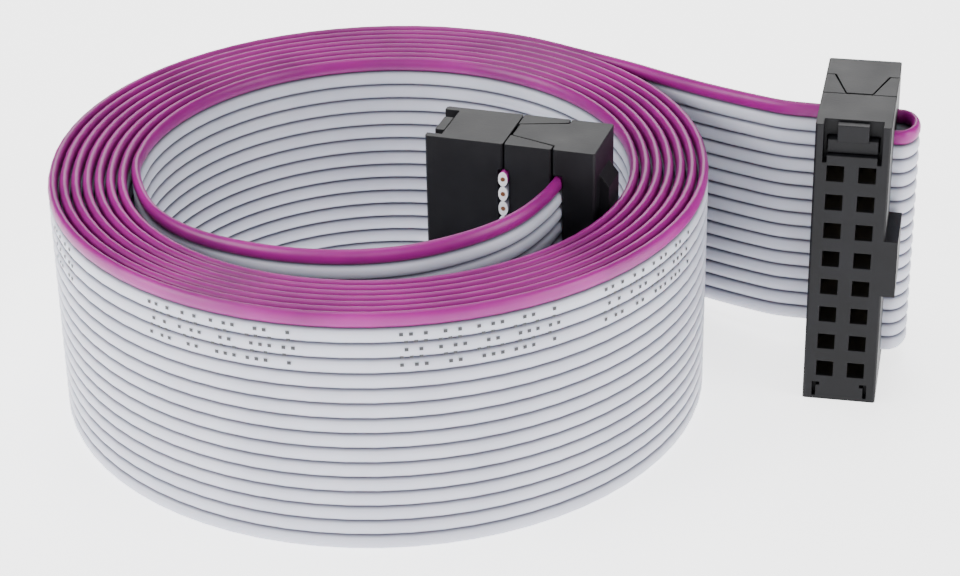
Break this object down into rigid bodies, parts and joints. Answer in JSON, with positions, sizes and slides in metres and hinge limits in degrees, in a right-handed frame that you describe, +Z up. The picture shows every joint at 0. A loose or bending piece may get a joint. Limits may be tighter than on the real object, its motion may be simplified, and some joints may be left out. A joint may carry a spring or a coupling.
{
  "type": "flat ribbon cable with sockets",
  "caption": "Coiled grey flat ribbon cable with one magenta index wire, ending in two black rectangular crimp-on sockets, one beside the coil and one inside it.",
  "frame": {"origin": "centre of the footprint, on the surface the cable rests on", "axes": "+Z up, across the ribbon's width; +X from the coil towards the outer socket; -Y the side the outer socket's mating face looks to"},
  "size_m": [0.0716, 0.056, 0.0249],
  "materials": {
    "grey_insulation": "soft satin flexible insulation",
    "index_insulation": "soft satin flexible insulation, magenta",
    "black_plastic": "fine-grained moulded plastic",
    "contact_metal": "plated stamped spring metal"
  },
  "bodies": {
    "coil": {"ribbon_coil": "grey_insulation", "index_wire_coil": "index_insulation", "ribbon_lead": "grey_insulation", "index_wire_lead": "index_insulation", "inner_socket_housing": "black_plastic", "inner_socket_cover": "black_plastic", "inner_socket_strain_relief": "black_plastic", "inner_socket_contact_01": "contact_metal", "inner_socket_contact_02": "contact_metal", "inner_socket_contact_03": "contact_metal", "inner_socket_contact_04": "contact_metal", "inner_socket_contact_05": "contact_metal", "inner_socket_contact_06": "contact_metal", "inner_socket_contact_07": "contact_metal", "inner_socket_contact_08": "contact_metal", "inner_socket_contact_09": "contact_metal", "inner_socket_contact_10": "contact_metal", "inner_socket_contact_11": "contact_metal", "inner_socket_contact_12": "contact_metal", "inner_socket_contact_13": "contact_metal", "inner_socket_contact_14": "contact_metal", "inner_socket_contact_15": "contact_metal", "inner_socket_contact_16": "contact_metal"},
    "tail": {"ribbon_tail": "grey_insulation", "index_wire_tail": "index_insulation", "outer_socket_housing": "black_plastic", "outer_socket_cover": "black_plastic", "outer_socket_contact_01": "contact_metal", "outer_socket_contact_02": "contact_metal", "outer_socket_contact_03": "contact_metal", "outer_socket_contact_04": "contact_metal", "outer_socket_contact_05": "contact_metal", "outer_socket_contact_06": "contact_metal", "outer_socket_contact_07": "contact_metal", "outer_socket_contact_08": "contact_metal", "outer_socket_contact_09": "contact_metal", "outer_socket_contact_10": "contact_metal", "outer_socket_contact_11": "contact_metal", "outer_socket_contact_12": "contact_metal", "outer_socket_contact_13": "contact_metal", "outer_socket_contact_14": "contact_metal", "outer_socket_contact_15": "contact_metal", "outer_socket_contact_16": "contact_metal"},
    "outer_clip": {"outer_socket_strain_relief": "black_plastic"}
  },
  "joints": [
    {"name": "tail_flex", "type": "hinge", "parent": "coil", "child": "tail", "pos_m": [0.01911, 0.01063, 0.01], "axis": [0, 0, 1], "range_deg": [-12, 12], "stiffness_Nm_per_rad": 0.02},
    {"name": "outer_clip_slide", "type": "slide", "parent": "tail", "child": "outer_clip", "axis": [0.2079, 0.9781, 0], "range_m": [0, 0.003]}
  ]
}
